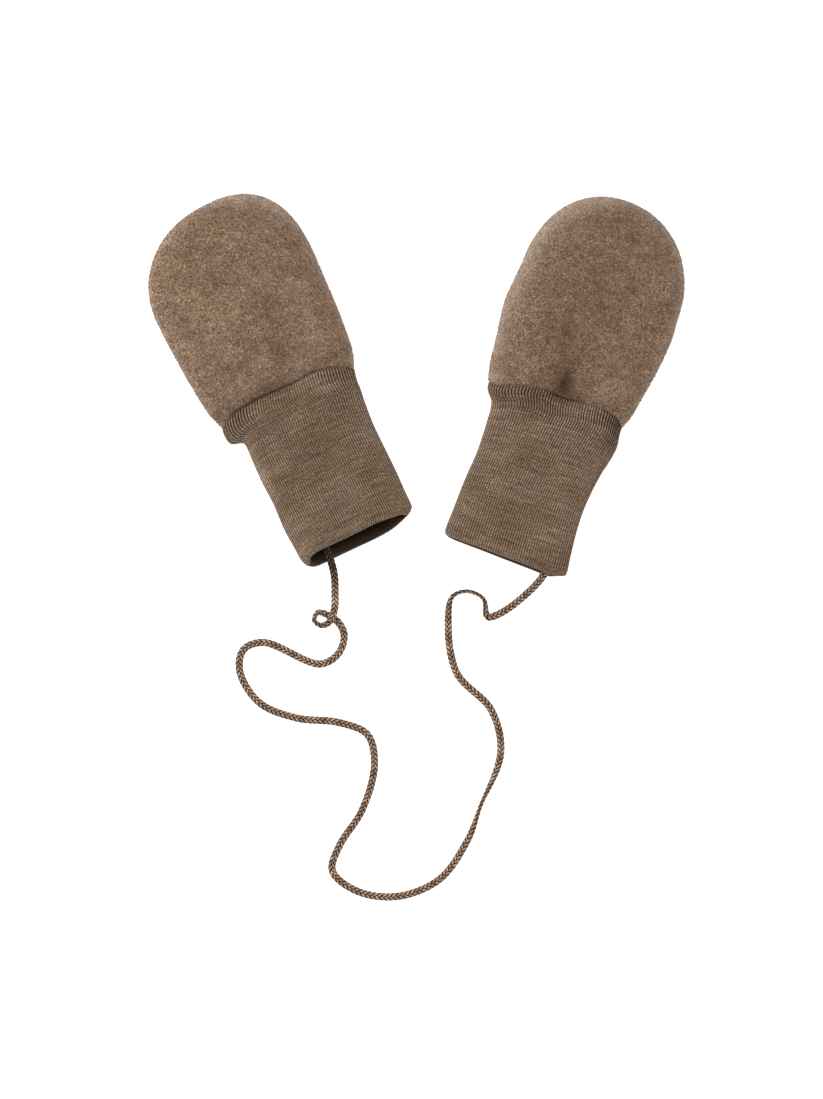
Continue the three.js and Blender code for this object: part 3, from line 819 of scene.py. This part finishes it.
def painted_sheen_at(mitten, x, y):
    """How strongly a painted sheen pales the nap at a place of a pouch: most at its rim."""
    tip, pouch = mitten["tip"], mitten["pouch"]
    is_left = x < tip["across"]
    widths = [read_table(pouch, "along", side, y) for side in ("left", "right")]
    straight = np.where(is_left, x + widths[0], widths[1] - x)
    reach = np.where(is_left, widths[0] + tip["across"], widths[1] - tip["across"])
    sideways = np.abs(x - tip["across"]) / reach
    upwards = (y - tip["start"]).clip(0) / (tip["end"] - tip["start"])
    round_tip = (1 - np.hypot(sideways, upwards)) * reach
    from_edge = np.where(y > tip["start"], round_tip, straight).clip(0)
    (left_pale, left_reach), (right_pale, right_reach) = (
        rim_painted_sheen[mitten["name"]][side] for side in ("left", "right"))
    to_left = np.clip(0.5 - (x - tip["across"]) / sheen_turnover, 0, 1)
    pale = mix(right_pale, left_pale, to_left)
    return pale * np.exp(-(from_edge / mix(right_reach, left_reach, to_left))**2)


def paint_shade_and_sheen(mitten, piece):
    """Notes on each point of a piece its painted shade and light, and how much painted sheen pales it.
    """
    x, y = from_frame(mitten, get_values(piece.data.vertices, "co", 3))
    from_seam = (y - seam_along(mitten, x)) / seam_shade_width
    painted_shade_and_light = soft_patches(painted_shade_patches[mitten["name"]], x, y, "dark")
    seam_dark = read_table(seam_shades[mitten["name"]], "across", "dark", x)
    set_value(piece, "painted_shade_and_light", painted_shade_and_light + seam_dark * np.exp(-from_seam**2))
    set_value(piece, "painted_sheen", painted_sheen_at(mitten, x, y))


# %% [markdown]
# ## The pouch
# A pouch is two panels sewn together round the edge, the upper one crowned and the lower one
# flat where it rests. A panel's grid runs round the edge in one direction, from the seam over
# the tip and back, and in the other from the edge to the middle line. Soft folds are pressed
# into the crown where the photograph shows them.

# %% Pouch form
side_part = 0.27
seam_pinch = 0.7
seam_pinch_height = 1.3
seam_crowding = 1.5
seam_dip = 1.2
seam_dip_width = 0.6


def pouch_edge(mitten, u):
    """The edge point, the middle point that it faces, and the share of the way to the tip."""
    tip, pouch = mitten["tip"], mitten["pouch"]
    is_left = u < 0.5
    from_seam = np.where(is_left, u, 1 - u)
    share = np.clip(from_seam / side_part, 0, 1) ** seam_crowding
    left_end = seam_along(mitten, -pouch[0]["left"])
    right_end = seam_along(mitten, pouch[0]["right"])
    along = mix(np.where(is_left, left_end, right_end), tip["start"], share)
    left = -read_table(pouch, "along", "left", along)
    right = read_table(pouch, "along", "right", along)
    x, y = np.where(is_left, left, right), along
    angle = np.clip((from_seam - side_part) / (0.5 - side_part), 0, 1) * math.pi / 2
    power = np.where(is_left, tip["left_power"], tip["right_power"])
    reach = np.abs(np.where(is_left, -pouch[-1]["left"], pouch[-1]["right"]) - tip["across"])
    sideways = np.where(is_left, -1, 1) * np.cos(angle).clip(0) ** (2 / power) * reach
    upwards = np.sin(angle) ** (2 / power) * (tip["end"] - tip["start"])
    in_tip = from_seam > side_part
    x = np.where(in_tip, tip["across"] + sideways, x)
    y = np.where(in_tip, tip["start"] + upwards, y)
    middle_y = mix(seam_along(mitten, tip["across"]), tip["start"], share)
    return x, y, middle_y, share


def panel_place(mitten, u, inset_mm):
    """A panel's place at a distance in from its edge, given as a function of the whole way to the
    middle line.
    """
    x, y, middle_y, share = pouch_edge(mitten, u)
    middle_x = mitten["tip"]["across"]
    way = np.hypot(middle_x - x, middle_y - y)
    part = inset_mm(way) / way
    px = mix(x, middle_x, part)
    straight = mix(y, middle_y, part)
    curved = mix(seam_along(mitten, px), mitten["tip"]["start"], share)
    return px, np.where(share < 1, curved, straight)


def draw_in(mitten, x, y, pinch):
    """Moves points of a pouch towards its middle line."""
    middle_x = mitten["tip"]["across"]
    middle_y = np.minimum(y, mitten["tip"]["start"])
    to_middle = np.maximum(np.hypot(middle_x - x, middle_y - y), 1e-6)
    return x + (middle_x - x) / to_middle * pinch, y + (middle_y - y) / to_middle * pinch


def back_form(mitten, wall):
    """The crowned upper panel, its outside or, a wall further in, its inside."""
    def form(u, v):
        # Points crowd towards the edge, where the cloth turns down
        share = np.where(v > 0.999, 0, np.cos(v * math.pi / 2).clip(0) ** (2 / pouch_crown))
        x, y = panel_place(mitten, u, lambda way: way * (1 - share) + wall * share)
        top = read_table(mitten["pouch"], "along", "top", y)
        base = top * side_share + half_panel_gap
        rise = (top - wall - base) * (1 - share**pouch_crown).clip(0) ** (1 / pouch_crown)
        press = soft_patches(mitten["folds"], x, y, "depth") * (1 - share**4)
        if wall == 0:
            # The cloth rolls down into the seam with the cuff
            from_seam = (y - seam_along(mitten, x)) / seam_dip_width
            press = press + seam_dip * np.exp(-from_seam**2) * (1 - share**2)
        pinch = seam_pinch * np.exp(-(rise / seam_pinch_height)**2)
        x, y = draw_in(mitten, x, y, pinch)
        return to_frame(mitten, x, y, base + rise - press)
    return form


def palm_form(mitten, wall):
    """The lower panel, rounded under its edge and flat where it rests."""
    rounding = pouch_under_round - wall
    bend_part = 0.4

    def form(u, v):
        turn = np.clip(v / bend_part, 0, 1) * math.pi / 2
        bend = (1 - np.cos(turn)) * rounding
        flat = np.clip((v - bend_part) / (1 - bend_part), 0, 1)
        x, y = panel_place(mitten, u, lambda way: mix(wall + bend, way, flat))
        top = read_table(mitten["pouch"], "along", "top", y)
        rim = top * side_share - half_panel_gap
        lift = (rim - wall) * (1 - np.sqrt((1 - (1 - bend / rounding)**2).clip(0)))
        pinch = seam_pinch * np.exp(-((rim - wall - lift) / seam_pinch_height)**2)
        x, y = draw_in(mitten, x, y, pinch)
        return to_frame(mitten, x, y, wall + lift)
    return form


# %% [markdown]
# The outside and the inside of a panel are two grids with the same points round their edges.
# They are joined, the points that meet on the middle line are merged, and the two open edges
# are bridged, which gives one closed wall with a true thickness.

# %% Close a wall
panel_merge = 0.02 * mm


def mend(merge_distance, bridge=False):
    """Merges points that meet, bridges open edges if asked, and turns all faces outwards."""
    bpy.ops.object.mode_set(mode="EDIT")
    bpy.ops.mesh.select_all(action="SELECT")
    bpy.ops.mesh.remove_doubles(threshold=merge_distance)
    if bridge:
        bpy.ops.mesh.select_all(action="DESELECT")
        bpy.ops.mesh.select_non_manifold(extend=False, use_wire=False, use_multi_face=False,
                                         use_non_contiguous=False, use_verts=False)
        bpy.ops.mesh.bridge_edge_loops()
        bpy.ops.mesh.select_all(action="SELECT")
    bpy.ops.mesh.normals_make_consistent(inside=False)
    bpy.ops.object.mode_set(mode="OBJECT")
    bpy.ops.object.shade_smooth()


round_edge_steps = 220
to_middle_steps = 40


def sew_panel(mitten, part, form):
    outside = lay_grid("outside", round_edge_steps, to_middle_steps, form(mitten, 0))
    inside = lay_grid("inside", round_edge_steps, to_middle_steps, form(mitten, fleece_wall))
    node = f"{mitten['name']}_{part}"
    panel = join_pieces(f"{node}_fleece", [outside, inside])
    mend(panel_merge, bridge=True)
    panel.data.materials.append(fleece_finish)
    paint_shade_and_sheen(mitten, panel)
    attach(panel, "root")
    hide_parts(node)
    print(f"{panel.name}: {len(panel.data.polygons)} faces")
    return panel


backs = [sew_panel(mitten, "back", back_form) for mitten in mittens]
palms = [sew_panel(mitten, "palm", palm_form) for mitten in mittens]

# %% [markdown]
# ## The nap
# Brushing lifts short tufts of wool out of the fleece. They soften the outline and give the
# cloth its grain. Each tuft is a closed three-sided spike that leans over in its own direction,
# and all the tufts of a panel are one mesh. The panel's own form says where the cloth lies, so a
# tuft is set at a pair of shares, and the slope of the form there says which way is out.

# %% Nap
nap_length = 0.9 * mm
nap_radius = 0.16 * mm
nap_sink = 0.12 * mm
nap_lean = 2.4
nap_lengths = (0.55, 1.1)
nap_slope_step = 0.001
nap_seam_gap = 0.5
back_tufts = 40000
palm_tufts = 7000
palm_nap_reach = 0.3
tries_per_tuft = 8
pouch_heart = (100.0, 5.0)
floor_clearance = 0.1 * mm


def unit(vectors):
    return vectors / np.maximum(np.linalg.norm(vectors, axis=1), 1e-12)[:, None]


def grow_nap(mitten, part, form, count, reach, seed):
    chance = np.random.default_rng(seed)
    tries = count * tries_per_tuft
    u, v = chance.uniform(0.002, 0.998, tries), chance.uniform(0.01, reach, tries)
    place = form(mitten, 0)
    root = place(u, v)
    out = np.cross(place(u + nap_slope_step, v) - root, place(u, v + nap_slope_step) - root)
    area = np.linalg.norm(out, axis=1)
    picked = chance.choice(tries, count, replace=False, p=area / area.sum())
    root, out = root[picked], unit(out[picked])
    x, y = from_frame(mitten, root)
    clear = y - seam_along(mitten, x) > nap_seam_gap
    root, out, x, y = root[clear], out[clear], x[clear], y[clear]
    count = len(root)
    heart = np.array([[mitten["tip"]["across"], *pouch_heart]])
    heart = to_frame(mitten, *heart.T)
    out *= np.where(np.sum(out * (root - heart), axis=1) < 0, -1, 1)[:, None]
    lean = np.cross(out, unit(chance.normal(size=(count, 3))))
    heading = unit(out + lean * chance.uniform(0.3, 1, count)[:, None] * nap_lean)
    length = nap_length * chance.uniform(*nap_lengths, count)
    root = root - out * nap_sink
    tip = root + heading * length[:, None]
    tip[:, 2] = np.maximum(tip[:, 2], floor_clearance)
    wide = unit(np.cross(heading, chance.normal(size=(count, 3))))
    thin = np.cross(heading, wide)
    corners = np.empty((count, 4, 3))
    for k in range(3):
        turn = 2 * math.pi * k / 3
        corners[:, k] = root + nap_radius * (wide * math.cos(turn) + thin * math.sin(turn))
    corners[:, :3, 2] = np.maximum(corners[:, :3, 2], floor_clearance)
    corners[:, 3] = tip
    first = np.arange(count)[:, None] * 4
    faces = np.vstack([first + corner for corner in ([0, 1, 3], [1, 2, 3], [2, 0, 3], [2, 1, 0])])
    mesh = bpy.data.meshes.new("nap")
    mesh.from_pydata(corners.reshape(-1, 3).tolist(), [], faces.tolist())
    nap = bpy.data.objects.new(f"{mitten['name']}_{part}_nap", mesh)
    bpy.context.collection.objects.link(nap)
    set_value(nap, "tone", np.repeat(chance.uniform(0.05, 1, count), 4))
    paint_shade_and_sheen(mitten, nap)
    nap.data.materials.append(fleece_finish)
    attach(nap, "root")
    print(f"{nap.name}: {count} tufts")
    return nap


back_naps = [grow_nap(mitten, "back", back_form, back_tufts, 0.999, 11) for mitten in mittens]
palm_naps = [grow_nap(mitten, "palm", palm_form, palm_tufts, palm_nap_reach, 12)
             for mitten in mittens]

# %% [markdown]
# ## The cuff
# A cuff is a tube of rib knit folded double at the hem, so it has no raw edge. Its grid runs
# round the tube in one direction. In the other it starts inside at the seam, runs down to the
# hem, round the fold and up the outside again. Each rib is a round ridge in the outside.

# %% Where the ribs are drawn in at the seam
lean_reach = 8.5
gathers = {
    "left": table("across depth reach lean",
        (-30, 0.4, 9, 0),
        (-20, 0.4, 8, 2.0),
        (-14, 0.1, 4, 2.6),
        (0, 0.06, 3, 1.7),
        (12, 0.06, 3, 0.5),
        (18, 0.34, 9, 0.7),
        (24, 0.36, 10, 0.6),
        (30, 0.38, 10, 0)),
    "right": table("across depth reach lean",
        (-31, 0.3, 5, 0),
        (-24, 0.4, 7, 0.4),
        (-15, 0.4, 7, 1.8),
        (-6, 0.4, 7, 2.6),
        (-1, 0.15, 20, 2.4),
        (12, 0.15, 20, 1.9),
        (19, 0.4, 9, 2.3),
        (23, 0.55, 9, 1.7),
        (27, 0.6, 9, 0)),
}


def gather_lean(mitten, x, along):
    """How far a rib is drawn sideways, in millimetres: most at the seam."""
    lean = read_table(gathers[mitten["name"]], "across", "lean", x)
    return lean * np.exp(-((seam_along(mitten, x) - along) / lean_reach)**2)


def gather_depth(mitten, ring):
    """How deep the grooves between ribs are drawn in, at each point of a ring."""
    rows = gathers[mitten["name"]]
    depth = read_table(rows, "across", "depth", ring[:, 0])
    reach = read_table(rows, "across", "reach", ring[:, 0])
    from_seam = seam_along(mitten, ring[:, 0]) - ring[:, 1]
    return depth * np.exp(-(from_seam / reach)**2)


# %% Cuff form
points_per_rib = 6
outside_rows = 62
inside_rows = 12
fold_rows = 6
rib_height = 0.22
fold_reach = 0.014
top_crowding = 1.3
fine_steps = 240
cuff_merge = 0.005 * mm


def cuff_section(mitten, share, wall, ribs):
    """One ring of a cuff at a share of the way from hem to seam, from its left edge over the top."""
    cuff, hem, seam = mitten["cuff"], mitten["hem"], mitten["seam"]
    left_along = mix(hem["left_end"], seam_along(mitten, seam[0]["across"]), share)
    right_along = mix(hem["right_end"], seam_along(mitten, seam[-1]["across"]), share)
    left = read_table(cuff, "along", "left", left_along) - wall
    right = read_table(cuff, "along", "right", right_along) - wall
    centre, half = (right - left) / 2, (right + left) / 2

    def place(side, height, is_top):
        x = centre + side * half
        hem_along = read_table(hem["top" if is_top else "bottom"], "across", "along", x)
        along = mix(hem_along, seam_along(mitten, x), share)
        top = read_table(cuff, "along", "top", along)
        rim = top * side_share
        from_seam = (seam_along(mitten, x) - along) / seam_dip_width
        dip = ribs * seam_dip / 2 * np.exp(-from_seam**2)
        z = mix(rim, top - wall - dip, height) if is_top else mix(wall, rim, height)
        return np.column_stack([x, along, z])

    angle = np.linspace(0, math.pi, fine_steps)
    side = -np.sign(np.cos(angle)) * np.abs(np.cos(angle)) ** (2 / cuff_crown)
    over = place(side, np.sin(angle).clip(0) ** (2 / cuff_crown), True)
    round_share = (cuff_under_round - wall / 2) / half
    side = np.cos(angle)
    inset = 1 - np.abs(side)
    lift = 1 - np.sqrt(1 - np.clip(1 - inset / round_share, 0, 1)**2)
    under = place(side, lift, False)
    lean = gather_lean(mitten, over[:, 0], over[:, 1]) * ribs
    ring = np.vstack([
        space_evenly(over, rib_count_top * points_per_rib, lean),
        space_evenly(under, rib_count_under * points_per_rib, np.zeros(len(under))),
    ])
    heading = np.roll(ring, -1, axis=0) - np.roll(ring, 1, axis=0)
    out = np.column_stack([-heading[:, 2], np.zeros(len(ring)), heading[:, 0]])
    out /= np.maximum(np.linalg.norm(out, axis=1), 1e-9)[:, None]
    phase = np.arange(len(ring)) / points_per_rib
    ridge = np.abs(np.sin(math.pi * phase)) ** 0.8 - 0.5
    gather = gather_depth(mitten, ring)
    lift = ridge * rib_height - np.cos(math.pi * phase)**2 * gather
    ring = ring + out * (lift * ribs)[:, None]
    ring[:, 2] = np.maximum(ring[:, 2], 0)
    ring = np.column_stack([ring, gather * ribs])
    return np.vstack([ring, ring[:1]])


def space_evenly(arc, count, lean):
    """Spaces points evenly on an arc, moved along it by a lean that is known at the arc's points."""
    steps = np.hypot(*np.diff(arc[:, [0, 2]], axis=0).T)
    lengths = np.r_[0, np.cumsum(steps)]
    wanted = np.linspace(0, lengths[-1], count, endpoint=False)
    wanted += np.interp(wanted, lengths, lean)
    return np.column_stack([np.interp(wanted, lengths, column) for column in arc.T])


def cuff_rows():
    """The rings from inside the seam round the hem to outside: share, wall and depth of ribs."""
    rows = [(share, knit_wall, 0) for share in np.linspace(1, fold_reach, inside_rows)]
    for i in range(1, fold_rows):
        angle = math.pi * i / fold_rows
        wall = knit_wall * (1 + math.cos(angle)) / 2
        rows.append((fold_reach * (1 - math.sin(angle)), wall, i / fold_rows))
    steps = np.linspace(0, 1, outside_rows)
    rows += [(mix(1, fold_reach, (1 - step)**top_crowding), 0, 1) for step in steps]
    rows.append((1, knit_wall, 0))
    return rows


def knit_cuff(mitten):
    rows = cuff_rows()
    rings = np.array([cuff_section(mitten, share, wall, ribs) for share, wall, ribs in rows])
    columns = rings.shape[1] - 1

    def ring_points(u, v):
        return rings[np.rint(v * (len(rows) - 1)).astype(int), np.rint(u * columns).astype(int)]

    def form(u, v):
        ring = ring_points(u, v)
        return to_frame(mitten, ring[:, 0], ring[:, 1], ring[:, 2])

    node = f"{mitten['name']}_cuff"
    cuff = lay_grid(f"{node}_knit", columns, len(rows) - 1, form)
    # Along the cloth, the UV map counts from the hem: outside upwards, inside downwards
    mesh = cuff.data
    uv = get_values(mesh.uv_layers["cloth"].data, "uv", 2)
    corners = get_values(mesh.loops, "vertex_index", kind=int)
    gathered = np.zeros(len(mesh.vertices))
    gathered[corners] = ring_points(uv[:, 0], uv[:, 1])[:, 3] * 2
    set_value(cuff, "gather", gathered)
    row_index = np.rint(uv[:, 1] * (len(rows) - 1)).astype(int)
    signs = np.array([-1 if wall > knit_wall / 4 else 1 for _, wall, _ in rows])
    shares = np.array([share for share, _, _ in rows])
    uv[:, 1] = shares[row_index] * signs[row_index]
    mesh.uv_layers["cloth"].data.foreach_set("uv", uv.ravel())
    mend(cuff_merge)
    cuff.data.materials.append(rib_knit_finish)
    paint_shade_and_sheen(mitten, cuff)
    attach(cuff, "root")
    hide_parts(node)
    print(f"{cuff.name}: {len(mesh.polygons)} faces")
    return cuff


cuffs = [knit_cuff(mitten) for mitten in mittens]
